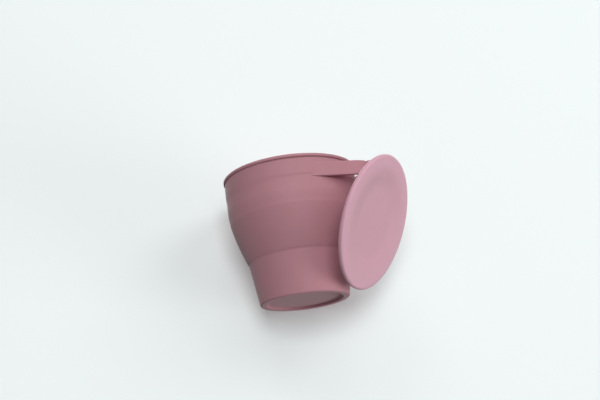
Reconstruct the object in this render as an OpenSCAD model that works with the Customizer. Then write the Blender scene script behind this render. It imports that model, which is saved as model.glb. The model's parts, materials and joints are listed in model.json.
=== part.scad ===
// Collapsible silicone snack cup for a toddler, drawn standing on its base.
// +Z is up and the origin is the centre of the base. The carrying strap points along +X.
// The lid is drawn folded back on its tether, as it hangs when the cup is in use.

/* [Cup] */
// Height from the table to the top of the lip
cup_h = 88; // [73:0.5:106]
// Radius of the lip, the widest part of the cup
lip_r = 45; // [37:0.5:54]
// Thickness of the lip, seen from the side
lip_h = 2.8; // [2.3:0.1:3.4]
// How far the lip stands out beyond the straight upper wall
lip_overhang = 0.9; // [0.7:0.1:2]
// Thickness of the silicone wall
wall = 2.2; // [1.8:0.1:2.8]
// Height of the faint collar band under the lip
collar_h = 11.4; // [9:0.1:13]
// How far the collar band stands out from the wall
collar_step = 0.3; // [0.1:0.05:0.5]

/* [Fold] */
// Height of the crease, the lower fold line above the lower cup
crease_z = 28.6; // [23:0.1:34]
// How far the upper fold line lies inside the straight wall
fold_in = 0.9; // [0.4:0.1:2]
// How far the folding web draws in between its two fold lines
web_taper = 8.8; // [7:0.1:11]
// Wall of the folding web between the two fold lines
web_t = 1.5; // [1.2:0.1:2]
// Wall of the web where it folds
fold_t = 1.2; // [0.9:0.1:1.4]
// How far the web bulges out from a straight cone
web_bulge = 0.7; // [0:0.1:1.5]
// Room between the crease and the spill guard when the cup is collapsed
crush_gap = 2; // [1:0.5:6]

/* [Lower cup] */
// How far the lower cup draws in from the crease to the table
base_taper = 4.9; // [3:0.1:7]
// Step in from the web at the crease
crease_step = 0.4; // [0.2:0.1:0.8]
// Width of the foot ring round the recess under the base
foot_w = 4.5; // [3:0.1:8]
// Depth of the recess under the base
recess_h = 1.8; // [1:0.1:3]
// Thickness of the floor
floor_t = 2.2; // [1.6:0.1:3.2]
// Inside corner between floor and wall
floor_fillet = 4; // [2:0.1:6]
// Rounding of the outer edge of the base
base_edge = 1.2; // [0.6:0.1:1.5]

/* [Strap] */
// How far the strap's nose reaches beyond the lip
strap_reach = 14.7; // [12:0.1:22]
// Outer radius of the strap's nose
nose_r = 14; // [8:0.1:17]
// Thickness of the strap
strap_t = 2.4; // [2:0.1:3.2]
// Height of the strap
strap_w = 9.6; // [8:0.1:12]
// Gap between the top of the strap and the underside of the lip
strap_drop = 3.8; // [3:0.1:6]

/* [Spill guard] */
// How deep the guard's plug wall reaches into the cup
plug_h = 7; // [5.8:0.1:9]
// Thickness of the plug wall
plug_t = 1.5; // [1.2:0.1:2]
// Height of the snap bead on the plug wall
snap_h = 0.6; // [0.4:0.05:0.9]
// Thickness of the guard's flat web
guard_t = 1.6; // [1.3:0.1:2]
// How far the web lies below the top of the lip
guard_drop = 1; // [0.5:0.1:1.2]
// Width of the guard from the edge of the lip to the hinges of the flaps
guard_w = 18; // [15:0.5:22]
// Number of flaps
flap_n = 8; // [6:1:12]
// Thickness of a flap
flap_t = 1.2; // [0.9:0.1:1.4]
// Width of the slits between the flaps
slit = 0.7; // [0.5:0.1:0.9]
// Radius of the hole where the slits meet
eye_r = 2.2; // [1.8:0.1:4]

/* [Lid] */
// How far the lid stands out beyond the lip, or inside it below 0
lid_overhang = -0.5; // [-1:0.1:2]
// Thickness of the lid's rim
rim_t = 3.2; // [2.7:0.1:4]
// Thickness of the lid inside the rim
lid_t = 2; // [1.6:0.1:2.6]
// Width of the flat rim
rim_w = 5.5; // [4.5:0.1:7]
// Depth of the hollow inside the rim
dish_h = 1.9; // [1.6:0.1:3]
// Width of the soft slope from the rim down to the flat middle of the hollow
slope_w = 13; // [9:0.5:20]

/* [Tether] */
// Width of the tether
tether_w = 8; // [6:0.5:10]
// Thickness of the tether
tether_t = 1.4; // [1:0.1:1.7]
// Radius of the round hinge bead at each end
bead_r = 0.95; // [0.8:0.05:1.15]
// How far the open tether droops below level, in degrees
tether_droop = 1.5; // [0:0.1:12]

/* [Clearances] */
// Gap between pieces that move past each other
run_gap = 0.3; // [0.25:0.05:0.4]
// Gap between the guard's plug and the cup
plug_gap = 0.08; // [0.05:0.01:0.15]
// Gap between the open lid and the table
rest_gap = 0.2; // [0:0.1:1]

/* [Hidden] */
$fn = 128;

silicone = "#a57a81";
silicone_light = "#b98894";
silicone_inner = "#99707a";

// Small edges and steps
collar_bevel = 0.7;
groove_h = 0.9;       // shadow groove between the collar and the lip
groove_d = 0.5;
groove_bevel = 0.4;
ease_h = 9;           // the bowl turns upright over this height above its fold line
fold_share = 1 / 6;   // share of the web's height over which it thins to a fold line
foot_edge = 0.6;
strap_chamfer = 0.6;
arm_sunk = 0.1;       // the arms come out of the collar at a grazing angle
arm_lap = 0.6;        // and run this far into the nose, slimmer by the shave
arm_shave = 0.03;
snap_foot = 1.4;      // half height of the snap bead at its foot, and at its crest
snap_crest = 0.5;
snap_up = 2.6;        // snap bead above the end of the plug wall
plug_lead = 0.6;      // chamfer that leads the plug into the cup
gusset = 0.8;         // corner between the plug wall and the guard's web
lip_edge = 0.9;       // rounding of the lip
ridge_h = 0.6;        // low ridge on the guard, inside the rim of the shut lid
ridge_w = 0.8;
ridge_ramp = 1.4;
ridge_in = 5;
flap_bulge = 0.15;    // the flap's hinge bead stands this far out of each face
nose_pin_in = 0.5;    // tether hinge inside the middle of the strap, and below its top
nose_pin_down = 0.4;
lid_pin_in = 0.5;     // lid hinge inside the lid's edge, and below its outer face
lid_pin_down = 0.6;
rim_land = 1.5;       // flat of the rim's outer face, beyond the inside of the rim

// Cup
lip_z = cup_h - lip_h;
wall_r = lip_r - lip_overhang;
collar_r = wall_r + collar_step;
collar_z = lip_z - collar_h;
bore_r = collar_r - wall;                // inside of the cup at its mouth
fold_r = wall_r - fold_in;
crease_r = fold_r - web_taper;
lower_top_r = crease_r - crease_step;
base_r = crease_r - base_taper;
recess_r = base_r - foot_w;
floor_z = recess_h + floor_t;
lower_slope = (lower_top_r - base_r) / crease_z;

// Spill guard
plug_r = bore_r - plug_gap;
plug_z = lip_z - plug_h;
snap_z = plug_z + snap_up;
guard_z = cup_h - guard_drop - guard_t;  // underside of the guard's web
flap_reach = lip_r - guard_w;            // hinge line of each flap, from the axis
flap_z = guard_z + guard_t / 2;          // middle of a flap, and height of its hinge
flap_bead_r = flap_t / 2 + flap_bulge;
flap_arc = 360 / flap_n;

// The collapsed cup has its crease just below the guard, so the upper fold is halfway
fold_z = (crease_z + guard_z - crush_gap) / 2;
ease_z = fold_z + ease_h;
collapse = 2 * (fold_z - crease_z);

// Strap
strap_z = lip_z - strap_drop - strap_w;
strap_top = strap_z + strap_w;
nose_x = lip_r + strap_reach;
nose_cx = nose_x - nose_r;
arm_r = collar_r - arm_sunk;
arm_az = acos((arm_r - nose_r) / nose_cx);
arm_len = nose_cx * sin(arm_az);

// Lid and tether, in the XZ plane
lid_r = lip_r + lid_overhang;
dish_r = lid_r - rim_w;
lid_pin_r = lid_r - lid_pin_in;          // lid hinge from the lid's centre
lid_pin_h = rim_t / 2 - lid_pin_down;    // and above the middle of its rim
pin_shut = [lid_pin_r, cup_h + run_gap + rim_t / 2 + lid_pin_h];
nose_pin = [nose_x - strap_t / 2 - nose_pin_in, strap_top - nose_pin_down];
tether_l = norm(pin_shut - nose_pin);
pin_open = nose_pin + tether_l * [cos(tether_droop), -sin(tether_droop)];

// The open lid hangs until its rim meets the table. It leans in under the cup,
// or out where the foot leaves no room for that.
lid_drop = lid_pin_r + lid_r - rim_t / 2;
lid_swing = acos(min(1, (pin_open[1] - rim_t / 2 - rest_gap) / norm([lid_drop, lid_pin_h])));
lean_in = atan2(lid_pin_h, lid_drop) + lid_swing;
room_in = pin_open[0] - lid_drop * sin(lean_in) - base_r - run_gap;
lid_lean = room_in > 0 ? lean_in : lean_in - 2 * lid_swing;
lid_open = pin_open - lid_pin_r * [sin(lid_lean), cos(lid_lean)]
         - lid_pin_h * [-cos(lid_lean), sin(lid_lean)];

// The two hinge angles that shut the lid
tether_shut = atan2(pin_shut[1] - nose_pin[1], pin_shut[0] - nose_pin[0]) + tether_droop;
lid_shut = 270 + lid_lean - tether_shut;

// Direction of the tether seen from the lid, open and shut
tether_side_open = 90 + lid_lean - tether_droop;
tether_side_shut = atan2(nose_pin[1] - pin_shut[1], nose_pin[0] - pin_shut[0]);

echo("hinges", nose_pin = nose_pin, pin_open = pin_open, flap_reach = flap_reach, flap_z = flap_z);
echo("travel", collapse = collapse, tether_shut = tether_shut, lid_shut = lid_shut,
     ratio = lid_shut / tether_shut);

// Points of an arc about c, from angle a to angle b in n steps
function arc(c, r, a, b, n) = [for (i = [0:n]) let (t = a + (b - a) * i / n) c + r * ray(t)];
function ray(a) = [cos(a), sin(a)];
function reversed(list) = [for (i = [len(list) - 1:-1:0]) list[i]];

// Wall of the bowl above its fold line, where it turns upright. The inset grows from
// inset0 to inset1 on the way up.
function ease_wall(inset0, inset1) = let (n = 8)
    [for (i = [0:n]) let (t = i / n)
        [fold_r + fold_in * sin(90 * t) - inset0 - (inset1 - inset0) * t, fold_z + ease_h * t]];

// Outer radius of the folding web at share t of its height, and its wall there
function web_r(t) = crease_r + web_taper * t + 4 * web_bulge * t * (1 - t);
function web_wall(t) = fold_t + (web_t - fold_t) * min(1, min(t, 1 - t) / fold_share);

// Section of the snap bead on a wall of radius r, grown by gap on every side
function snap(r, gap) = [[r, snap_z - snap_foot - gap], [r + snap_h + gap, snap_z - snap_crest],
                         [r + snap_h + gap, snap_z + snap_crest], [r, snap_z + snap_foot + gap]];

module upper_bowl() {
    snap_reach = snap_foot + plug_gap;
    color(silicone)
    difference() {
        rotate_extrude()
            polygon(concat(
                ease_wall(0, 0),
                [[wall_r, collar_z - collar_bevel], [collar_r, collar_z + collar_bevel],
                 [collar_r, lip_z - groove_h], [collar_r - groove_d, lip_z - groove_h + groove_bevel],
                 [collar_r - groove_d, lip_z], [bore_r, lip_z], [bore_r, collar_z + collar_bevel]],
                reversed(ease_wall(fold_t, wall))));
        // Groove that the guard's snap bead sits in
        rotate_extrude()
            polygon(concat([[bore_r - wall, snap_z - snap_reach]],
                           snap(bore_r, 0),
                           [[bore_r - wall, snap_z + snap_reach]]));
    }
}

module fold_web() {
    n = 14;
    web_h = fold_z - crease_z;
    color(silicone)
    rotate_extrude()
        polygon(concat(
            [for (i = [0:n]) let (t = i / n) [web_r(t), crease_z + web_h * t]],
            [for (i = [n:-1:0]) let (t = i / n) [web_r(t) - web_wall(t), crease_z + web_h * t]]));
}

module lower_cup() {
    in_r = base_r + lower_slope * floor_z - wall;
    color(silicone)
    rotate_extrude()
        polygon(concat(
            [[0, recess_h], [recess_r - foot_edge, recess_h], [recess_r, recess_h - foot_edge],
             [recess_r + foot_edge, 0]],
            arc([base_r - base_edge, base_edge], base_edge, -90, -8, 5),
            [[lower_top_r, crease_z], [lower_top_r - wall, crease_z]],
            arc([in_r - floor_fillet, floor_z + floor_fillet], floor_fillet, -8, -90, 6),
            [[0, floor_z]]));
}

// Section of the strap, flat against a wall of radius r, shaved by s all round
module strap_section(r, s) {
    c = strap_chamfer;
    out_x = r - s;
    in_x = r - strap_t + s;
    low = strap_z + s;
    high = strap_top - s;
    polygon([[in_x + c, low], [out_x - c, low], [out_x, low + c], [out_x, high - c],
             [out_x - c, high], [in_x + c, high], [in_x, high - c], [in_x, low + c]]);
}

module strap_arm() {
    rotate([0, 0, arm_az])
        rotate([90, 0, 0])
            linear_extrude(height = arm_len + arm_lap)
                strap_section(arm_r, arm_shave);
}

module handle_strap() {
    notch_w = tether_w + 2 * run_gap;
    color(silicone_light)
    difference() {
        union() {
            strap_arm();
            mirror([0, 1, 0]) strap_arm();
            translate([nose_cx, 0, 0])
                rotate([0, 0, -arm_az])
                    rotate_extrude(angle = 2 * arm_az)
                        strap_section(nose_r, 0);
        }
        translate([0, 0, strap_z - 1])
            cylinder(r = collar_r, h = strap_w + 2);
        // The tether's bead turns in this notch across the top of the nose
        translate([nose_cx, -notch_w / 2, nose_pin[1] - bead_r - run_gap])
            cube([nose_r + 1, notch_w, strap_w]);
    }
}

module guard_ring() {
    ridge_r = dish_r - ridge_in;
    web_top = guard_z + guard_t;
    plug_in = plug_r - plug_t;
    hole_r = (flap_reach + flap_bead_r + run_gap) / cos(flap_arc / 2);
    color(silicone_light)
    difference() {
        rotate_extrude()
            polygon(concat(
                [[plug_in, plug_z], [plug_r - plug_lead, plug_z], [plug_r, plug_z + plug_lead]],
                snap(plug_r, -plug_gap),
                [[plug_r, lip_z]],
                arc([lip_r - lip_edge, lip_z + lip_edge], lip_edge, -90, 0, 5),
                arc([lip_r - lip_edge, cup_h - lip_edge], lip_edge, 0, 90, 5),
                [[ridge_r + ridge_h, cup_h], [ridge_r, cup_h + ridge_h],
                 [ridge_r - ridge_w, cup_h + ridge_h], [ridge_r - ridge_w - ridge_ramp, web_top],
                 [eye_r, web_top], [eye_r, guard_z], [plug_in - gusset, guard_z],
                 [plug_in, guard_z - gusset]]));
        // Each side of the hole faces one flap's hinge
        translate([0, 0, guard_z - 1])
            cylinder(r = hole_r, h = guard_t + 2, $fn = flap_n);
    }
}

// One flap, from its hinge bead to the eye where the slits meet
module flap(i) {
    side = tan(flap_arc / 2);
    trim = slit / 2 / cos(flap_arc / 2);
    root_w = 2 * (flap_reach * side - trim - run_gap);
    color(silicone_inner)
    rotate([0, 0, (i - 0.5) * flap_arc])
    union() {
        translate([0, 0, flap_z - flap_t / 2])
            linear_extrude(height = flap_t)
                polygon([[flap_reach, flap_reach * side - trim], [eye_r, eye_r * side - trim],
                         [eye_r, trim - eye_r * side], [flap_reach, trim - flap_reach * side]]);
        translate([flap_reach, root_w / 2, flap_z])
            rotate([90, 0, 0])
                cylinder(r = flap_bead_r, h = root_w, $fn = 48);
    }
}

// A flat strip with a round bead at each end, where it hinges on the strap and the lid
module tether() {
    color(silicone_light)
    translate([nose_pin[0], 0, nose_pin[1]])
        rotate([0, tether_droop, 0])
            union() {
                translate([0, -tether_w / 2, -tether_t / 2])
                    cube([tether_l, tether_w, tether_t]);
                for (x = [0, tether_l])
                    translate([x, tether_w / 2, 0])
                        rotate([90, 0, 0])
                            cylinder(r = bead_r, h = tether_w, $fn = 48);
            }
}

// The lid about its own centre, outer face up, hinge side towards +X
module lid_shell() {
    half = rim_t / 2;
    n = 14;
    // The inner face along the slope: radius, height and share of the way to the rim
    slope = [for (i = [0:n]) let (t = i / n)
        [dish_r - slope_w * (1 - t), dish_h * (1 + cos(180 * t)) / 2 - half, t]];
    rotate_extrude()
        polygon(concat(
            [[0, dish_h - half]],
            [for (p = slope) [p[0], p[1]]],
            arc([lid_r - half, 0], half, -90, 90, 10),
            [[dish_r + rim_land, half]],
            [for (p = reversed(slope)) if (p[2] < 1)
                [p[0], p[1] + lid_t + (rim_t - lid_t) * pow(p[2], 2)]],
            [[0, dish_h - half + lid_t]]));
}

// Room that the tether sweeps at the rim, between its open and its shut direction
module tether_room() {
    half = tether_t / 2 + run_gap;
    far = 2 * rim_t;
    middle = (tether_side_open + tether_side_shut) / 2;
    circle(r = bead_r + run_gap, $fn = 48);
    polygon([half * ray(tether_side_open + 90),
             half * ray(tether_side_open + 90) + far * ray(tether_side_open),
             2 * far * ray(middle),
             half * ray(tether_side_shut - 90) + far * ray(tether_side_shut),
             half * ray(tether_side_shut - 90)]);
}

module lid() {
    slot_w = tether_w + 2 * run_gap;
    color(silicone_light)
    translate([lid_open[0], 0, lid_open[1]])
        rotate([0, lid_lean - 90, 0])
            difference() {
                lid_shell();
                translate([lid_pin_r, slot_w / 2, lid_pin_h])
                    rotate([90, 0, 0])
                        linear_extrude(height = slot_w)
                            tether_room();
            }
}

upper_bowl();
fold_web();
lower_cup();
handle_strap();
guard_ring();
tether();
lid();
for (i = [1:flap_n])
    flap(i);
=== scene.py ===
# Collapsible silicone snack cup: a bowl with two fold lines, a carrying strap, a guard of
# eight flaps in its mouth, and a lid folded back on its tether.
import json
import math

import bmesh
import bpy
from mathutils import Euler, Matrix, Vector


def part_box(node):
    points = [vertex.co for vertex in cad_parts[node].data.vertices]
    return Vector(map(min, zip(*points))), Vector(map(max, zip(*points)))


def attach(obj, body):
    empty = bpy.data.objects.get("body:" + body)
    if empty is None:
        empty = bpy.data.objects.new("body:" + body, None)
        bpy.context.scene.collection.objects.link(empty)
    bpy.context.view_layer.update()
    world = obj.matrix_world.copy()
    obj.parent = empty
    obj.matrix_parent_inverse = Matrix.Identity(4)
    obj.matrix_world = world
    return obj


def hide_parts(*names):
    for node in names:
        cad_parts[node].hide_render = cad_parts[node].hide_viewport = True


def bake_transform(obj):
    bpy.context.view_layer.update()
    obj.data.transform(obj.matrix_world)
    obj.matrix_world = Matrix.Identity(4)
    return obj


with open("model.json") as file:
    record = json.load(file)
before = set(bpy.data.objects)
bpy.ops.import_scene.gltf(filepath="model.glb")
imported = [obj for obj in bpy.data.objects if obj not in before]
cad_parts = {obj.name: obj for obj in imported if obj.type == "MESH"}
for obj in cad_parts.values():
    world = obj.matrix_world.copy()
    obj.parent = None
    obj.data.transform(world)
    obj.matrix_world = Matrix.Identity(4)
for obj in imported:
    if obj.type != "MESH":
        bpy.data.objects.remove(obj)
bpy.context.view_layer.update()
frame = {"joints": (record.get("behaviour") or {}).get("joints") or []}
mm = 0.001
hinge = {j["name"]: Vector(j["pos_m"]) / mm for j in frame["joints"] if "pos_m" in j}


def nodeBox(node):
    low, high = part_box(node)
    return low / mm, high / mm


# Sizes that the pieces share, in millimetres, read off the frame where it has them
cup = {
    "lipRadius": nodeBox("guard_ring")[1].x,
    "lipUnder": nodeBox("upper_bowl")[1].z,
    "collarRadius": nodeBox("upper_bowl")[1].x,
    "foldZ": nodeBox("fold_web")[1].z,
    "foldRadius": nodeBox("fold_web")[1].x,
    "creaseZ": nodeBox("fold_web")[0].z,
    "creaseRadius": nodeBox("lower_cup")[1].x,
    "wall": 2.2,
    "segments": 192,
}
print("frame loaded")

# The photograph's view, from below the rim of the standing cup
view = {"place": (278.8, -553.5, -118.5), "turn": (107.03, 7.26, 28.46), "lens": 57.3}


def makeCamera():
    lens = bpy.data.cameras.new("camera")
    lens.lens = view["lens"]
    lens.clip_start, lens.clip_end = 0.01, 20
    camera = bpy.data.objects.new("camera", lens)
    camera.location = Vector(view["place"]) * mm
    camera.rotation_euler = Euler([math.radians(a) for a in view["turn"]])
    bpy.context.scene.collection.objects.link(camera)
    bpy.context.scene.camera = camera


makeCamera()


def fromHex(code):
    # sRGB hex to linear RGBA
    parts = [int(code[i : i + 2], 16) / 255 for i in (1, 3, 5)]
    linear = [c / 12.92 if c <= 0.04045 else ((c + 0.055) / 1.055) ** 2.4 for c in parts]
    return (*linear, 1.0)


def addNode(tree, kind, settings=None, links=None):
    # settings: a property or an input to its value; links: an input to the output it takes
    node = tree.nodes.new(kind)
    for key, value in (settings or {}).items():
        if isinstance(key, str) and hasattr(node, key):
            setattr(node, key, value)
        else:
            node.inputs[key].default_value = value
    for key, socket in (links or {}).items():
        tree.links.new(socket, node.inputs[key])
    return node


def smooth(t):
    t = min(1.0, max(0.0, t))
    return t * t * (3 - 2 * t)


def arcPoints(centre, radius, start, end, steps):
    angles = [math.radians(start + (end - start) * i / steps) for i in range(steps + 1)]
    return [(centre[0] + radius * math.cos(a), centre[1] + radius * math.sin(a)) for a in angles]


def roundCorners(corners, closed, steps=5):
    # corners: (x, y, rounding). A rounding gets an arc, with a holding point either side.
    points, count = [], len(corners)
    for i, (x, y, rounding) in enumerate(corners):
        here = Vector((x, y))
        if not closed and i in (0, count - 1) or rounding <= 0:
            points.append((x, y))
            continue
        before = Vector(corners[i - 1][:2]) - here
        after = Vector(corners[(i + 1) % count][:2]) - here
        half = before.angle(after) / 2
        reach = min(rounding / math.tan(half), 0.45 * before.length, 0.45 * after.length)
        radius = reach * math.tan(half)
        middle = (before.normalized() + after.normalized()).normalized()
        centre = here + middle * (radius / math.sin(half))
        first, last = here + before.normalized() * reach, here + after.normalized() * reach
        hold = 0.25 * reach
        points.append(tuple(first + before.normalized() * hold))
        spread = (first - centre).angle_signed(last - centre)
        for k in range(steps + 1):
            turn = Matrix.Rotation(-spread * k / steps, 2)
            points.append(tuple(centre + turn @ (first - centre)))
        points.append(tuple(last + after.normalized() * hold))
    return points


def finishMesh(piece, sharpAngle=34):
    # merges seams, turns faces outwards, and shades smooth between sharp edges
    shape = bmesh.new()
    shape.from_mesh(piece.data)
    bmesh.ops.remove_doubles(shape, verts=shape.verts, dist=1e-7)
    bmesh.ops.recalc_face_normals(shape, faces=shape.faces)
    limit = math.radians(sharpAngle)
    for edge in shape.edges:
        edge.smooth = len(edge.link_faces) == 2 and edge.calc_face_angle(0) < limit
    for face in shape.faces:
        face.smooth = True
    shape.to_mesh(piece.data)
    shape.free()
    piece.data.update()
    return piece


def newObject(name, mesh):
    thing = bpy.data.objects.new(name, mesh)
    bpy.context.scene.collection.objects.link(thing)
    return thing


def loftRings(name, rings, material):
    # rings: closed rings of as many points each, in millimetres, with a cap at either end
    count = len(rings[0])
    faces = [tuple(range(count)), tuple(range((len(rings) - 1) * count, len(rings) * count))]
    for i in range(len(rings) - 1):
        for k in range(count):
            n = (k + 1) % count
            faces.append((i * count + k, i * count + n, (i + 1) * count + n, (i + 1) * count + k))
    mesh = bpy.data.meshes.new(name)
    mesh.from_pydata([Vector(p) * mm for ring in rings for p in ring], [], faces)
    mesh.materials.append(material)
    return finishMesh(newObject(name, mesh))


def sectionPoints(width, thickness, rounding, steps=5):
    # a rectangle with rounded corners, width across and thickness up
    w, t = width / 2, thickness / 2
    corners = [(w, t, rounding), (-w, t, rounding), (-w, -t, rounding), (w, -t, rounding)]
    return roundCorners(corners, True, steps)


def movePoints(piece, move):
    # move: a function from a point to a point, in millimetres
    for vertex in piece.data.vertices:
        vertex.co = Vector(move(vertex.co / mm)) * mm
    piece.data.update()


def makeLatheTree():
    # turns an outline, drawn in the XZ plane, about the Z axis
    tree = bpy.data.node_groups.new("latheOutline", "GeometryNodeTree")
    face = tree.interface
    face.new_socket("Geometry", in_out="INPUT", socket_type="NodeSocketGeometry")
    face.new_socket("Segments", in_out="INPUT", socket_type="NodeSocketInt")
    face.new_socket("Skin", in_out="INPUT", socket_type="NodeSocketMaterial")
    face.new_socket("Geometry", in_out="OUTPUT", socket_type="NodeSocketGeometry")
    start = addNode(tree, "NodeGroupInput").outputs
    size = addNode(
        tree, "GeometryNodeAttributeDomainSize", {}, {"Geometry": start["Geometry"]}
    ).outputs
    columns = addNode(
        tree, "ShaderNodeMath", {"operation": "ADD", 1: 1.0}, {0: start["Segments"]}
    ).outputs
    grid = addNode(
        tree,
        "GeometryNodeMeshGrid",
        {"Size X": 1.0, "Size Y": 1.0},
        {"Vertices X": columns[0], "Vertices Y": size["Point Count"]},
    ).outputs
    share = addNode(tree, "ShaderNodeSeparateXYZ", {}, {0: grid["UV Map"]}).outputs
    last = addNode(
        tree, "ShaderNodeMath", {"operation": "SUBTRACT", 1: 1.0}, {0: size["Point Count"]}
    ).outputs
    exact = addNode(
        tree, "ShaderNodeMath", {"operation": "MULTIPLY"}, {0: share["Y"], 1: last[0]}
    ).outputs
    row = addNode(tree, "ShaderNodeMath", {"operation": "ROUND"}, {0: exact[0]}).outputs
    place = addNode(tree, "GeometryNodeInputPosition").outputs
    point = addNode(
        tree,
        "GeometryNodeSampleIndex",
        {"data_type": "FLOAT_VECTOR", "domain": "POINT"},
        {"Geometry": start["Geometry"], "Value": place[0], "Index": row[0]},
    ).outputs
    angle = addNode(
        tree, "ShaderNodeMath", {"operation": "MULTIPLY", 1: math.tau}, {0: share["X"]}
    ).outputs
    turned = addNode(
        tree,
        "ShaderNodeVectorRotate",
        {"rotation_type": "Z_AXIS"},
        {"Vector": point[0], "Angle": angle[0]},
    ).outputs
    skin = addNode(
        tree, "GeometryNodeSetPosition", {}, {"Geometry": grid["Mesh"], "Position": turned[0]}
    ).outputs
    whole = addNode(
        tree, "GeometryNodeMergeByDistance", {"Distance": 1e-6}, {"Geometry": skin[0]}
    ).outputs
    endTree(tree, whole[0], start["Skin"])
    return tree


def makeFlapTree():
    # sets one blank on a ring of places about the Z axis, and keeps the one that is asked for
    tree = bpy.data.node_groups.new("flapRing", "GeometryNodeTree")
    face = tree.interface
    face.new_socket("Geometry", in_out="INPUT", socket_type="NodeSocketGeometry")
    face.new_socket("Count", in_out="INPUT", socket_type="NodeSocketInt")
    face.new_socket("Which", in_out="INPUT", socket_type="NodeSocketInt")
    face.new_socket("Skin", in_out="INPUT", socket_type="NodeSocketMaterial")
    face.new_socket("Geometry", in_out="OUTPUT", socket_type="NodeSocketGeometry")
    start = addNode(tree, "NodeGroupInput").outputs
    places = addNode(tree, "GeometryNodePoints", {}, {"Count": start["Count"]}).outputs
    index = addNode(tree, "GeometryNodeInputIndex").outputs
    asked = addNode(
        tree,
        "FunctionNodeCompare",
        {"data_type": "INT", "operation": "EQUAL"},
        {2: index[0], 3: start["Which"]},
    ).outputs
    step = addNode(
        tree, "ShaderNodeMath", {"operation": "DIVIDE", 0: math.tau}, {1: start["Count"]}
    ).outputs
    middle = addNode(tree, "ShaderNodeMath", {"operation": "ADD", 1: 0.5}, {0: index[0]}).outputs
    angle = addNode(
        tree, "ShaderNodeMath", {"operation": "MULTIPLY"}, {0: middle[0], 1: step[0]}
    ).outputs
    about = addNode(tree, "ShaderNodeCombineXYZ", {}, {"Z": angle[0]}).outputs
    turn = addNode(tree, "FunctionNodeEulerToRotation", {}, {0: about[0]}).outputs
    ring = addNode(
        tree,
        "GeometryNodeInstanceOnPoints",
        {},
        {
            "Points": places[0],
            "Selection": asked[0],
            "Instance": start["Geometry"],
            "Rotation": turn[0],
        },
    ).outputs
    endTree(tree, ring[0], start["Skin"])
    return tree


def endTree(tree, geometry, material):
    real = addNode(tree, "GeometryNodeRealizeInstances", {}, {"Geometry": geometry}).outputs
    skin = addNode(
        tree, "GeometryNodeSetMaterial", {}, {"Geometry": real[0], "Material": material}
    ).outputs
    addNode(tree, "NodeGroupOutput", {}, {"Geometry": skin[0]})


def runTree(piece, tree, inputs):
    # gives the modifier its inputs, then keeps the result as a plain mesh
    modifier = piece.modifiers.new(tree.name, "NODES")
    modifier.node_group = tree
    sockets = {s.name: s.identifier for s in tree.interface.items_tree if s.in_out == "INPUT"}
    for key, value in inputs.items():
        modifier[sockets[key]] = value
    graph = bpy.context.evaluated_depsgraph_get()
    made = bpy.data.meshes.new_from_object(piece.evaluated_get(graph))
    piece.modifiers.clear()
    old, piece.data = piece.data, made
    bpy.data.meshes.remove(old)
    made.name = piece.name
    return piece


latheTree = makeLatheTree()
flapTree = makeFlapTree()


def latheShell(name, outline, closed, material):
    # outline: (radius, height) in millimetres, from axis to axis, or a closed loop
    rows = outline + outline[:1] if closed else outline
    mesh = bpy.data.meshes.new(name)
    edges = [(i, i + 1) for i in range(len(rows) - 1)]
    mesh.from_pydata([(r * mm, 0, z * mm) for r, z in rows], edges, [])
    piece = newObject(name, mesh)
    runTree(piece, latheTree, {"Segments": cup["segments"], "Skin": material})
    return finishMesh(piece)


def settle(piece, slot, body, *nodes):
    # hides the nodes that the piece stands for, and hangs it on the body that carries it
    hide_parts(*nodes)
    if body:
        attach(piece, body)


# Moulded silicone rubber, pressed in a bead-blasted mould. It is matt, very slightly
# mottled, and shows a soft pale bloom where it turns away from the eye.
siliconeLook = {
    "dark": "#b37e88",
    "light": "#b9838d",
    "cloudSize": 16,
    "patchSize": 5,
    "patchSpan": (0.35, 0.65),  # the part of the noise's range that spans the roughness
    "rough": (0.56, 0.64),
    "grainSize": 0.4,  # the real grain is 0.05 mm, drawn coarser so that it shows
    "grainDepth": 0.03,
    "grainStrength": 0.35,
    "flowSize": 9,
    "flowDepth": 0.08,
    "flowStrength": 0.25,
    "ior": 1.41,
    "gloss": 0.45,
    "bloom": 0.25,
    "bloomRough": 0.5,
    "bloomTint": "#ffffff",
}
# The lid is paler than the cup. Round its rim, from rimHighlightFrom to rimHighlightTo off its
# middle, it is painted paler still: a painted highlight where the rim catches light
lidLook = {
    **siliconeLook,
    "dark": "#c494a2",
    "light": "#c999a7",
    # rim: the colour of the painted highlight round the lid's rim
    "rim": "#cd9cac",
    "rimHighlightFrom": 30,
    "rimHighlightTo": 41,
}


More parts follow.
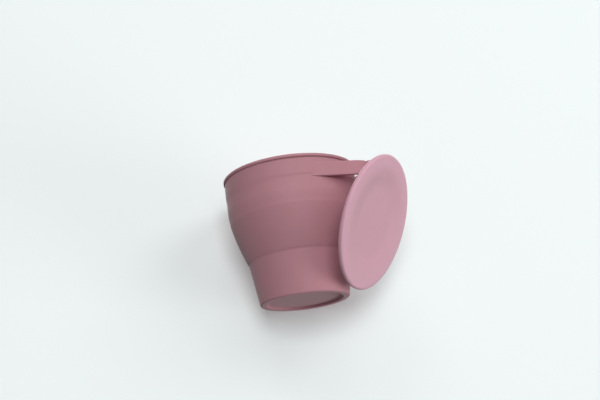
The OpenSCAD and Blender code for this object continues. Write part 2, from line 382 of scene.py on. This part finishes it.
def siliconeMaterial(name, look, centre=None):
    # centre: the middle of a disc, in millimetres, round whose rim a paler ring is painted as a
    # highlight
    material = bpy.data.materials.new(name)
    material.use_nodes = True
    tree = material.node_tree
    tree.nodes.clear()
    where = addNode(tree, "ShaderNodeTexCoord").outputs["Object"]

    def noise(size, detail):
        settings = {"Scale": 1 / (look[size] * mm), "Detail": detail}
        return addNode(tree, "ShaderNodeTexNoise", settings, {"Vector": where}).outputs[0]

    tint = addNode(
        tree,
        "ShaderNodeMix",
        {"data_type": "RGBA", 6: fromHex(look["dark"]), 7: fromHex(look["light"])},
        {0: noise("cloudSize", 3.0)},
    ).outputs[2]
    # a paler ring painted round the disc's rim: a painted highlight, not the silicone's own
    # colour
    if centre:
        ring = addNode(
            tree,
            "ShaderNodeVectorMath",
            {"operation": "DISTANCE", 1: [c * mm for c in centre]},
            {0: where},
        ).outputs["Value"]
        share = addNode(
            tree,
            "ShaderNodeMapRange",
            {
                "interpolation_type": "SMOOTHSTEP",
                "From Min": look["rimHighlightFrom"] * mm,
                "From Max": look["rimHighlightTo"] * mm,
            },
            {"Value": ring},
        ).outputs[0]
        tint = addNode(
            tree,
            "ShaderNodeMix",
            {"data_type": "RGBA", 7: fromHex(look["rim"])},
            {0: share, 6: tint},
        ).outputs[2]
    matt = addNode(
        tree,
        "ShaderNodeMapRange",
        {
            "From Min": look["patchSpan"][0],
            "From Max": look["patchSpan"][1],
            "To Min": look["rough"][0],
            "To Max": look["rough"][1],
        },
        {"Value": noise("patchSize", 2.0)},
    ).outputs[0]
    flow = addNode(
        tree,
        "ShaderNodeBump",
        {"Strength": look["flowStrength"], "Distance": look["flowDepth"] * mm},
        {"Height": noise("flowSize", 1.0)},
    ).outputs[0]
    grain = addNode(
        tree,
        "ShaderNodeBump",
        {"Strength": look["grainStrength"], "Distance": look["grainDepth"] * mm},
        {"Height": noise("grainSize", 2.0), "Normal": flow},
    ).outputs[0]
    skin = addNode(
        tree,
        "ShaderNodeBsdfPrincipled",
        {
            "IOR": look["ior"],
            "Specular IOR Level": look["gloss"],
            "Sheen Weight": look["bloom"],
            "Sheen Roughness": look["bloomRough"],
            "Sheen Tint": fromHex(look["bloomTint"]),
        },
        {"Base Color": tint, "Roughness": matt, "Normal": grain},
    ).outputs[0]
    addNode(tree, "ShaderNodeOutputMaterial", {}, {"Surface": skin})
    return material


cupSilicone = siliconeMaterial("cupSilicone", siliconeLook)
guardSilicone = siliconeMaterial("guardSilicone", siliconeLook)
print("materials made")

# Upper bowl, from its fold line up to the shadow groove under the lip
bowl = {
    "easeHeight": 9,
    "easeCurve": (0.9, 1.2, -1.1),  # leaves the fold line steeper than the web, so that it shows
    "easeSteps": 12,
    "wallRadius": 44.1,
    "collarHeight": 11.4,
    "collarSlope": 0.65,
    "collarRound": 3,
    "collarZone": 2.5,
    "fadeFrom": 60,  # degrees round from the strap's nose where the collar's step starts to fade
    "fadeOver": 45,
    "fadeSpread": 2.2,
    "grooveHeight": 0.9,
    "grooveDepth": 0.55,
    "grooveSlope": 0.45,
    "grooveRound": (0.4, 0.25),  # at its outer edge and at its bottom
    "foldWall": 1.2,
}


def makeBowl():
    top = cup["lipUnder"]
    collarLow = top - bowl["collarHeight"]
    bore = cup["collarRadius"] - cup["wall"]
    foldIn = bowl["wallRadius"] - cup["foldRadius"]

    def easeWall(inset0, inset1):
        wall = []
        for i in range(bowl["easeSteps"] + 1):
            t = i / bowl["easeSteps"]
            rise = sum(share * t**power for power, share in enumerate(bowl["easeCurve"], 1))
            radius = cup["foldRadius"] + foldIn * rise - inset0 - (inset1 - inset0) * t
            wall.append((radius, cup["foldZ"] + bowl["easeHeight"] * t, 0))
        return wall

    grooveRadius = cup["collarRadius"] - bowl["grooveDepth"]
    grooveLow = top - bowl["grooveHeight"]
    corners = easeWall(0, 0) + [
        (bowl["wallRadius"], collarLow - bowl["collarZone"], 0),
        (bowl["wallRadius"], collarLow - bowl["collarSlope"], bowl["collarRound"]),
        (cup["collarRadius"], collarLow + bowl["collarSlope"], bowl["collarRound"]),
        (cup["collarRadius"], collarLow + bowl["collarZone"], 0),
        (cup["collarRadius"], grooveLow - 0.6, 0),  # holds the collar straight up to the groove
        (cup["collarRadius"], grooveLow, bowl["grooveRound"][0]),
        (grooveRadius, grooveLow + bowl["grooveSlope"], bowl["grooveRound"][1]),
        (grooveRadius, top, 0),
        (bore, top, 0),
        (bore, collarLow, 0),
    ]
    corners += easeWall(bowl["foldWall"], cup["wall"])[::-1]
    piece = latheShell("bowl", roundCorners(corners, True), True, cupSilicone)

    def fadeStep(p):
        # draws the collar's step out into a long slope, away from the strap
        above = p.z - collarLow
        outside = math.hypot(p.x, p.y) > bore + cup["wall"] / 4
        if abs(above) > bowl["collarZone"] + 0.01 or not outside:  # 0.01 takes in its end rings
            return p
        around = abs(math.degrees(math.atan2(p.y, p.x)))
        spread = 1 + bowl["fadeSpread"] * smooth((around - bowl["fadeFrom"]) / bowl["fadeOver"])
        return (p.x, p.y, collarLow + above * spread)

    movePoints(piece, fadeStep)
    return piece


settle(makeBowl(), "cup_silicone", "cup_body", "upper_bowl")

# Folding web, which rolls inside out as the cup collapses, and the crease under it
web = {
    "lowRadius": 34.4,
    "bulge": 0.7,
    "wall": 1.5,
    "foldWall": 1.2,
    "thinShare": 1 / 6,
    "rows": 36,
}
lower = {
    "baseRadius": 29.5,
    "recessTop": 24.8,
    "recessFoot": 25.3,
    "recessHeight": 1.8,
    "recessRound": 0.5,
    "floor": 2.2,
    "floorFillet": 4,
    "baseEdge": 1.2,
    "creaseEase": 1.0,
    "easeSteps": 8,
}


def webRadius(z):
    # a straight taper with a parabola on it, as high as the bulge half way up
    t = (z - cup["creaseZ"]) / (cup["foldZ"] - cup["creaseZ"])
    taper = web["lowRadius"] + (cup["foldRadius"] - web["lowRadius"]) * t
    return taper + 4 * web["bulge"] * t * (1 - t)


def lowerRadius(z):
    taper = cup["creaseRadius"] - lower["baseRadius"]
    return cup["creaseRadius"] + taper * (z / cup["creaseZ"] - 1)


def skinRadius(z):
    # the outside of web and lower cup, joined by a soft curve across the crease
    crease, ease = cup["creaseZ"], lower["creaseEase"]
    t = (z - crease + ease) / (2 * ease)
    if t <= 0:
        return lowerRadius(z)
    if t >= 1:
        return webRadius(z)
    start, end = lowerRadius(crease - ease), webRadius(crease + ease)
    step = ease / 50  # for the slopes at both ends, each over the curve's height of 2 * ease
    slopeIn = (start - lowerRadius(crease - ease - step)) / step * 2 * ease
    slopeOut = (webRadius(crease + ease + step) - end) / step * 2 * ease
    return (
        (2 * t**3 - 3 * t**2 + 1) * start
        + (t**3 - 2 * t**2 + t) * slopeIn
        + (3 * t**2 - 2 * t**3) * end
        + (t**3 - t**2) * slopeOut
    )


def makeWeb():
    low, high = cup["creaseZ"], cup["foldZ"]
    outer, inner = [], []
    for i in range(web["rows"] + 1):
        t = i / web["rows"]
        z = low + (high - low) * t
        thin = min(1, min(t, 1 - t) / web["thinShare"])
        outer.append((skinRadius(z), z))
        inner.append((webRadius(z) - web["foldWall"] - (web["wall"] - web["foldWall"]) * thin, z))
    return latheShell("foldWeb", outer + inner[::-1], True, cupSilicone)


def makeLowerCup():
    top = cup["creaseZ"]
    floorZ = lower["recessHeight"] + lower["floor"]
    steps = lower["easeSteps"]
    eased = [top - lower["creaseEase"] * (1 - i / steps) for i in range(steps + 1)]
    corners = [
        (0, lower["recessHeight"], 0),
        (lower["recessTop"], lower["recessHeight"], lower["recessRound"]),
        (lower["recessFoot"], 0, lower["recessRound"]),
        (lower["baseRadius"], 0, lower["baseEdge"]),
        *[(skinRadius(z), z, 0) for z in eased],
        (cup["creaseRadius"] - cup["wall"], top, 0),
        (lowerRadius(floorZ) - cup["wall"], floorZ, lower["floorFillet"]),
        (0, floorZ, 0),
    ]
    return latheShell("lowerCup", roundCorners(corners, False, 7), False, cupSilicone)


webPiece = makeWeb()
settle(webPiece, "cup_silicone", None, "fold_web")
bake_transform(webPiece)
settle(makeLowerCup(), "cup_silicone", "lower_cup", "lower_cup")
print("cup made")

# Carrying strap: straight arms that come out of the wall at a grazing angle, and a round nose
strap = {
    "low": nodeBox("handle_strap")[0].z,
    "high": nodeBox("handle_strap")[1].z,
    "noseRadius": 14,
    "noseX": nodeBox("handle_strap")[1].x,
    "armFace": 44.05,
    "thickness": 2.4,
    "edge": 0.6,
    "buried": 9,  # degrees that each end runs on inside the wall
    "sink": 0.6,
    "innerLimit": 42.5,
    "notchHalf": 4.05,
    "notchFade": 0.6,
    "notchZ": 80.4,
    "buriedSteps": 8,  # rings along each end, each arm and each half of the nose
    "armSteps": 25,
    "noseSteps": 36,
}


def makeStrap():
    half = strap["thickness"] / 2
    noseCentre = strap["noseX"] - strap["noseRadius"]
    meet = math.acos((strap["armFace"] - strap["noseRadius"]) / noseCentre)
    armLength = noseCentre * math.sin(meet)
    # one side of the middle line, from its buried end to the tip of the nose, with its direction
    side = []
    for i in range(strap["buriedSteps"] + 1):
        t = i / strap["buriedSteps"]
        angle = -meet - math.radians(strap["buried"]) * (1 - t)
        radius = strap["armFace"] - half - strap["sink"] * (1 - t) ** 2
        side.append((Vector((math.cos(angle), math.sin(angle))) * radius, angle))
    start = Vector((math.cos(-meet), math.sin(-meet)))
    for i in range(1, strap["armSteps"]):
        along = Vector((-start.y, start.x)) * (armLength * i / strap["armSteps"])
        side.append((start * (strap["armFace"] - half) + along, -meet))
    for i in range(strap["noseSteps"] + 1):
        angle = -meet * (1 - i / strap["noseSteps"])
        out = Vector((math.cos(angle), math.sin(angle))) * (strap["noseRadius"] - half)
        side.append((Vector((noseCentre, 0)) + out, angle))
    other = [(Vector((p.x, -p.y)), -angle) for p, angle in side[-2::-1]]
    section = sectionPoints(strap["high"] - strap["low"], strap["thickness"], strap["edge"], 6)
    middleZ = (strap["low"] + strap["high"]) / 2
    rings = []
    for place, angle in side + other:
        out = Vector((math.cos(angle), math.sin(angle)))
        rings.append([(*(place + out * y), middleZ + x) for x, y in section])
    piece = loftRings("strap", rings, cupSilicone)

    def trim(p):
        # keeps the inner face inside the wall, and lowers the top where the tether springs
        radius = math.hypot(p.x, p.y)
        grow = max(1, strap["innerLimit"] / radius)
        z = p.z
        if p.x > noseCentre:
            inNotch = 1 - smooth((abs(p.y) - strap["notchHalf"]) / strap["notchFade"])
            z = min(z, strap["high"] + (strap["notchZ"] - strap["high"]) * inNotch)
        return (p.x * grow, p.y * grow, z)

    movePoints(piece, trim)
    return piece


settle(makeStrap(), "cup_silicone", "cup_body", "handle_strap")
print("strap made")

# Spill guard: a plug wall with a snap bead, the lip of the cup, and a web round the flaps
guard = {
    "top": nodeBox("guard_ring")[1].z - 0.6,  # the node's own ridge stands 0.6 mm above its top
    "plugLow": nodeBox("guard_ring")[0].z,
    "plugGap": 0.08,
    "plug": 1.5,
    "snap": 0.5,
    "snapUp": 2.6,
    "snapFoot": 1.4,  # half the height of the snap bead where it leaves the plug
    "snapTip": 0.4,
    "lipEdge": 1.25,
    "lipSlope": 0.35,
    "webUnder": 85.4,
    "webTop": 87,
    "ridge": 33.3,
    "ridgeHeight": 0.45,
    "ridgeOut": (0.9, 0.3),  # its outer slope, from foot to top, and then its inner one
    "ridgeIn": (1.5, 0.5),
    "holeApothem": 28.05,
    "webEnd": 31.4,
}
flap = {
    "count": 8,
    "hinge": 27,
    "z": 86.2,
    "root": 28.4,
    "tip": 2.2,
    "thickness": 1.2,
    "grooved": 0.7,
    "grooveHalf": 0.8,
    "slit": 0.7,
    "edge": 0.26,
    "endStep": 0.3,  # between the last two rings at either end
    "grooveSteps": 16,
    "tongueSteps": 20,
}


def makeGuard():
    plugOut = cup["collarRadius"] - cup["wall"] - guard["plugGap"]
    plugIn = plugOut - guard["plug"]
    snapZ = guard["plugLow"] + guard["snapUp"]
    ridge, ridgeTop = guard["ridge"], guard["top"] + guard["ridgeHeight"]
    foot, tip = guard["snapFoot"], guard["snapTip"]
    corners = [
        (plugIn, guard["plugLow"], 0.5),
        (plugOut, guard["plugLow"], 0.6),
        (plugOut, snapZ - foot, 0.5),
        (plugOut + guard["snap"], snapZ - tip, 0.4),
        (plugOut + guard["snap"], snapZ + tip, 0.4),
        (plugOut, snapZ + foot, 0.5),
        (plugOut, cup["lipUnder"], 0.2),
        (cup["collarRadius"] - bowl["grooveDepth"], cup["lipUnder"], 0),
        (cup["lipRadius"], cup["lipUnder"] + guard["lipSlope"], guard["lipEdge"]),
        (cup["lipRadius"], guard["top"] - guard["lipSlope"], guard["lipEdge"]),
        (ridge + guard["ridgeOut"][0], guard["top"], 0.5),
        (ridge + guard["ridgeOut"][1], ridgeTop, 0.3),
        (ridge - guard["ridgeIn"][1], ridgeTop, 0.3),
        (ridge - guard["ridgeIn"][0], guard["webTop"], 0.6),
        (guard["webEnd"], guard["webTop"], 0),
        (guard["holeApothem"], guard["webTop"], 0.35),
        (guard["holeApothem"], guard["webUnder"], 0.35),
        (guard["webEnd"], guard["webUnder"], 0),
        (plugIn, guard["webUnder"], 0.8),
    ]
    piece = latheShell("guard", roundCorners(corners, True), True, guardSilicone)
    flapArc = math.tau / flap["count"]

    def squareUp(p):
        # draws the round hole out into straight sides, one for each flap's hinge
        radius = math.hypot(p.x, p.y)
        share = (guard["webEnd"] - radius) / (guard["webEnd"] - guard["holeApothem"])
        if share <= 0 or radius < 1:
            return p
        off = math.atan2(p.y, p.x) % flapArc - flapArc / 2
        grow = 1 + (1 / math.cos(off) - 1) * min(1, share)
        return (p.x * grow, p.y * grow, p.z)

    movePoints(piece, squareUp)
    return piece


def flapBlank():
    # one flap along +X, from the root that is moulded into the web to the eye of the guard
    side = math.tan(math.pi / flap["count"])
    trim = flap["slit"] / 2 / math.cos(math.pi / flap["count"])
    grooveSteps, tongueSteps = flap["grooveSteps"], flap["tongueSteps"]
    inner, groove = flap["hinge"] - flap["grooveHalf"], 2 * flap["grooveHalf"]
    tongue = inner - flap["tip"] - 2 * flap["endStep"]
    places = [flap["root"], flap["root"] - flap["endStep"]]
    places += [inner + groove * (1 - i / grooveSteps) for i in range(grooveSteps + 1)]
    places += [inner - tongue * i / tongueSteps for i in range(1, tongueSteps + 1)]
    places += [flap["tip"] + flap["endStep"], flap["tip"]]
    rings = []
    for x in places:
        near = smooth(1 - abs(x - flap["hinge"]) / flap["grooveHalf"])
        thickness = flap["thickness"] - (flap["thickness"] - flap["grooved"]) * near
        rounding = min(flap["edge"], 0.4 * thickness)
        section = sectionPoints(2 * (x * side - trim), thickness, rounding, 3)
        rings.append([(x, a, flap["z"] + b) for a, b in section])
    return rings


def makeFlaps():
    blank = flapBlank()
    for i in range(flap["count"]):
        node = "flap_%d" % (i + 1)
        piece = loftRings("guardFlap_%d" % (i + 1), blank, guardSilicone)
        runTree(piece, flapTree, {"Count": flap["count"], "Which": i, "Skin": guardSilicone})
        finishMesh(piece)
        settle(piece, "guard_silicone", None, node)
        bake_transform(piece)


settle(makeGuard(), "guard_silicone", "cup_body", "guard_ring")
makeFlaps()
print("guard and flaps made")

# Lid, folded back so that its hollow side shows
lid = {
    "radius": nodeBox("lid")[1].y,
    "rim": 3.2,
    "rimWidth": 7,
    "slopeWidth": 16.5,
    "thickness": 2.0,
    "hollow": 2.2,
    "pinIn": 0.5,  # the hinge's axis, in from the lid's edge and down from its outer face
    "pinDown": 0.6,
    "seatHalf": 4.1,
    "seatFade": 1.0,
    "seat": 0.42,
    "seatFrom": -0.4,  # height in the rim above which it thins for the tether
    "slopeSteps": 26,
}


def lidLean():
    # the hanging lid's slant, from where its lowest point lies under the hinge
    low = nodeBox("lid")[0].z
    half = lid["rim"] / 2
    reach, rise = lid["radius"] - lid["pinIn"] + lid["radius"] - half, half - lid["pinDown"]
    drop = hinge["lid_fold"].z - half - low
    return math.acos(drop / math.hypot(reach, rise)) + math.atan2(rise, reach)


def lidPlace():
    # the middle of the hanging lid, its slant, and the way down along it
    half = lid["rim"] / 2
    lean = lidLean()
    down = Vector((-math.sin(lean), 0, -math.cos(lean)))
    face = Vector((-math.cos(lean), 0, math.sin(lean)))
    reach, rise = lid["radius"] - lid["pinIn"], half - lid["pinDown"]
    return hinge["lid_fold"] + down * reach - face * rise, lean, down


lidCentre, lidSlant, lidDown = lidPlace()
lidSilicone = siliconeMaterial("lidSilicone", lidLook, lidCentre)


def makeLid():
    radius, half = lid["radius"], lid["rim"] / 2
    outR = radius - lid["rimWidth"]
    inR = outR - lid["slopeWidth"]
    steps = lid["slopeSteps"]
    slope = [(inR + lid["slopeWidth"] * i / steps, i / steps) for i in range(steps + 1)]
    hollow = [(r, lid["hollow"] * (1 + math.cos(math.pi * t)) / 2 - half) for r, t in slope]
    thick = [lid["thickness"] + (lid["rim"] - lid["thickness"]) * t * t for r, t in slope]
    under = [(0, hollow[0][1]), (inR / 2, hollow[0][1])] + hollow
    over = [(r, z + extra) for (r, z), extra in zip(hollow, thick)]
    over = [(0, over[0][1]), (inR / 2, over[0][1])] + over
    rim = [(outR + 2, -half), *arcPoints((radius - half, 0), half, -90, 90, 16), (outR + 2, half)]
    piece = latheShell("lid", under + rim + over[::-1], False, lidSilicone)

    def seatTether(p):
        # thins the rim's outer half where the tether is moulded on
        ring = math.hypot(p.x, p.y)
        above = p.z - lid["seatFrom"]
        if p.x < 0 or ring < radius - 2 * half or above < 0:
            return p
        share = 1 - smooth((abs(p.y) - lid["seatHalf"]) / lid["seatFade"])
        keep = 1 - lid["seat"] * share * smooth(above / abs(2 * lid["seatFrom"]))
        out = (radius - half + (ring - radius + half) * keep) / ring
        return (p.x * out, p.y * out, p.z * keep)

    movePoints(piece, seatTether)
    # from its own middle to its place, hanging from the hinge
    turn = Matrix.Rotation(lidSlant - math.pi / 2, 4, "Y")
    piece.data.transform(Matrix.Translation(lidCentre * mm) @ turn)
    return piece


# Tether: a soft strip from the strap's nose to the lid's rim, thin at both hinges
tether = {
    "width": 8,
    "thickness": 1.4,
    "thin": 0.8,
    "edge": 0.4,
    "sag": 0.9,
    "thinReach": (2.2, 1.8),  # how far from each hinge the thickness is full again
    "hingeShift": 0.3,  # how far past its joint the strip is thinnest
    "rootIn": 0.3,  # from the strap's inner face to the foot of the root
    "rootLength": 0.5,
    "rootDrop": 0.9,
    "rootThickness": (1.7, 0.9),  # at its foot and at its top
    "rootSteps": 5,
    "steps": 40,
    "endGap": 0.4,  # before the second joint, where the strip starts to wrap the lid's rim
    "wrap": (1.25, 0.97),  # from the middle of the lid's rim, at the start and end of the wrap
    "wrapAngle": (104, 12),  # degrees above the level, from start to end
    "wrapSteps": 14,
    "hingeHalf": 0.9,
    "firstShift": 0.4,  # how far past its joint the root's soft hinge is centred
}


def stripRings(stations):
    # stations: (x, z, slant in degrees, thickness)
    rings = []
    for x, z, slant, thickness in stations:
        up = Vector((-math.sin(math.radians(slant)), 0, math.cos(math.radians(slant))))
        rounding = min(tether["edge"], 0.45 * thickness)
        section = sectionPoints(tether["width"], thickness, rounding, 4)
        rings.append([Vector((x, a, z)) + up * b for a, b in section])
    return rings


def makeTether():
    rimMiddle = lidCentre - lidDown * (lid["radius"] - lid["rim"] / 2)
    first, last = hinge["tether_fold"], hinge["lid_fold"]
    line = last - first
    slant = math.degrees(math.atan2(line.z, line.x))
    middle = (first + last) / 2

    def thickness(x):
        start = 1 - abs(x - first.x - tether["hingeShift"]) / tether["thinReach"][0]
        end = 1 - abs(x - last.x) / tether["thinReach"][1]
        thinned = smooth(1.6 * max(start, end))
        return tether["thickness"] - (tether["thickness"] - tether["thin"]) * thinned

    def station(x):
        share = (x - first.x) / line.x
        sag = tether["sag"] * math.sin(math.pi * min(1, max(0, share)))
        return (x, first.z + share * line.z - sag, slant, thickness(x))

    # the root stands on the strap, thick where it is moulded on
    steps, rootSteps, wrapSteps = tether["steps"], tether["rootSteps"], tether["wrapSteps"]
    rootX = strap["noseX"] - strap["thickness"] + tether["rootIn"]
    low, high = tether["rootThickness"]
    inner = []
    for i in range(rootSteps):
        t = i / rootSteps
        x, z = rootX + tether["rootLength"] * t, first.z - tether["rootDrop"] * (1 - t) ** 2
        inner.append((x, z, slant, low + (high - low) * smooth(t)))
    rootX += tether["rootLength"]
    inner += [station(rootX + (middle.x - rootX) * i / steps) for i in range(steps + 1)]
    endX = last.x - tether["endGap"]
    outer = [station(middle.x + (endX - middle.x) * i / steps) for i in range(steps + 1)]
    # the far end wraps the lid's rim and sinks into it
    for i in range(1, wrapSteps + 1):
        t = i / wrapSteps
        angle = tether["wrapAngle"][0] + (tether["wrapAngle"][1] - tether["wrapAngle"][0]) * t
        wrap = tether["wrap"][0] + (tether["wrap"][1] - tether["wrap"][0]) * t**2
        x = rimMiddle.x + wrap * math.cos(math.radians(angle))
        z = rimMiddle.z + wrap * math.sin(math.radians(angle))
        outer.append((x, z, angle - 90, tether["thin"]))
    return [
        loftRings("tetherRoot", stripRings(inner), lidSilicone),
        loftRings("tetherEnd", stripRings(outer), lidSilicone),
    ]


settle(makeLid(), "lid_silicone", "lid", "lid")
root, end = makeTether()
for piece, bodies, bend in (
    (root, ("cup_body", "tether"), hinge["tether_fold"] + Vector((tether["firstShift"], 0, 0))),
    (end, ("tether", "lid"), hinge["lid_fold"]),
):
    settle(piece, "lid_silicone", None, "tether")
    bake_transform(piece)
print("lid and tether made")

# A pale table that the cup leans its back on, a pale floor for other views, soft lights
stageLook = {
    "tableAzimuth": 128,
    "tableTilt": 11,
    "tableColour": "#e0e6e6",
    "tableGlow": 0.155,
    "floorColour": "#e2eaea",
    "floorGlow": 0.15,
    "floorDrop": 0.2,  # under the cup, so that its base doesn't flicker
    "size": 6.0,
}


def stageMaterial(name, colour, glow):
    # pale matt paint, clear from behind, that only the camera sees: it sends no light to the cup
    material = bpy.data.materials.new(name)
    material.use_nodes = True
    tree = material.node_tree
    tree.nodes.clear()
    behind = addNode(tree, "ShaderNodeNewGeometry").outputs["Backfacing"]
    seen = addNode(tree, "ShaderNodeLightPath").outputs["Is Camera Ray"]
    front = addNode(
        tree, "ShaderNodeMath", {"operation": "SUBTRACT"}, {0: seen, 1: behind}
    ).outputs[0]
    tint = fromHex(colour)
    paint = addNode(tree, "ShaderNodeBsdfDiffuse", {"Color": tint}).outputs[0]
    lift = addNode(tree, "ShaderNodeEmission", {"Color": tint, "Strength": glow}).outputs[0]
    pale = addNode(tree, "ShaderNodeAddShader", {}, {0: paint, 1: lift}).outputs[0]
    clear = addNode(tree, "ShaderNodeBsdfTransparent").outputs[0]
    mix = addNode(tree, "ShaderNodeMixShader", {}, {0: front, 1: clear, 2: pale}).outputs[0]
    addNode(tree, "ShaderNodeOutputMaterial", {}, {"Surface": mix})
    return material


def makePlane(name, centre, along, up, material):
    across, high = along * stageLook["size"] / 2, up * stageLook["size"] / 2
    corners = [centre + x * across + y * high for x, y in ((-1, -1), (1, -1), (1, 1), (-1, 1))]
    mesh = bpy.data.meshes.new(name)
    mesh.from_pydata(corners, [], [(0, 1, 2, 3)])
    mesh.materials.append(material)
    newObject(name, mesh)


def direction(around, above):
    # degrees round the Z axis and above the floor
    around, above = math.radians(around), math.radians(above)
    flat = math.cos(above)
    return Vector((flat * math.cos(around), flat * math.sin(around), math.sin(above)))


def makeStage():
    back = direction(stageLook["tableAzimuth"], -stageLook["tableTilt"])
    # the table touches whichever ring of the cup reaches furthest back
    rings = [
        (lower["baseRadius"], lower["baseEdge"] / 3),
        (cup["foldRadius"], cup["foldZ"]),
        (cup["lipRadius"], cup["lipUnder"] + 1.4),  # half way up the lip's edge
    ]
    touch = max(radius * math.hypot(back.x, back.y) + z * back.z for radius, z in rings)
    along = Vector((0, 0, 1)).cross(-back).normalized()
    table = stageMaterial("paleTable", stageLook["tableColour"], stageLook["tableGlow"])
    makePlane("table", back * touch * mm, along, (-back).cross(along), table)
    floor = stageMaterial("paleFloor", stageLook["floorColour"], stageLook["floorGlow"])
    under = Vector((0, 0, -stageLook["floorDrop"]))
    makePlane("floor", under * mm, Vector((1, 0, 0)), Vector((0, 1, 0)), floor)


makeStage()

# Soft boxes: each one's direction from the cup is in degrees round the Z axis and above the floor
lamps = {
    "key": {"around": -59, "above": 9, "size": 1.1, "watts": 30},
    "right": {"around": -4, "above": 29, "size": 1.2, "watts": 14},
    "low": {"around": 21, "above": -23.5, "size": 1.2, "watts": 27},
    "top": {"around": -63, "above": 60, "size": 1.2, "watts": 11},
    "back": {"around": 130, "above": 42, "size": 1.6, "watts": 42},
}
lampFar = 2.4
lampAim = (20, 0, 44)
room = {"colour": "#ffffff", "strength": 0.19, "seenColour": "#f4f8f8"}


def makeLights():
    for name, lamp in lamps.items():
        light = bpy.data.lights.new(name, "AREA")
        light.energy = lamp["watts"]
        light.size = lamp["size"]
        thing = newObject(name, light)
        way = direction(lamp["around"], lamp["above"])
        thing.location = Vector(lampAim) * mm + way * lampFar
        thing.rotation_euler = way.to_track_quat("Z", "Y").to_euler()


def makeRoom():
    world = bpy.data.worlds.new("paleRoom")
    world.use_nodes = True
    tree = world.node_tree
    tree.nodes.clear()
    seen = addNode(tree, "ShaderNodeLightPath").outputs["Is Camera Ray"]
    lit = addNode(
        tree,
        "ShaderNodeBackground",
        {"Color": fromHex(room["colour"]), "Strength": room["strength"]},
    ).outputs[0]
    shown = addNode(
        tree, "ShaderNodeBackground", {"Color": fromHex(room["seenColour"]), "Strength": 1.0}
    ).outputs[0]
    mix = addNode(tree, "ShaderNodeMixShader", {}, {0: seen, 1: lit, 2: shown}).outputs[0]
    addNode(tree, "ShaderNodeOutputWorld", {}, {"Surface": mix})
    bpy.context.scene.world = world


makeLights()
makeRoom()
bpy.context.scene.view_settings.view_transform = "Standard"
print("stage and lights made")
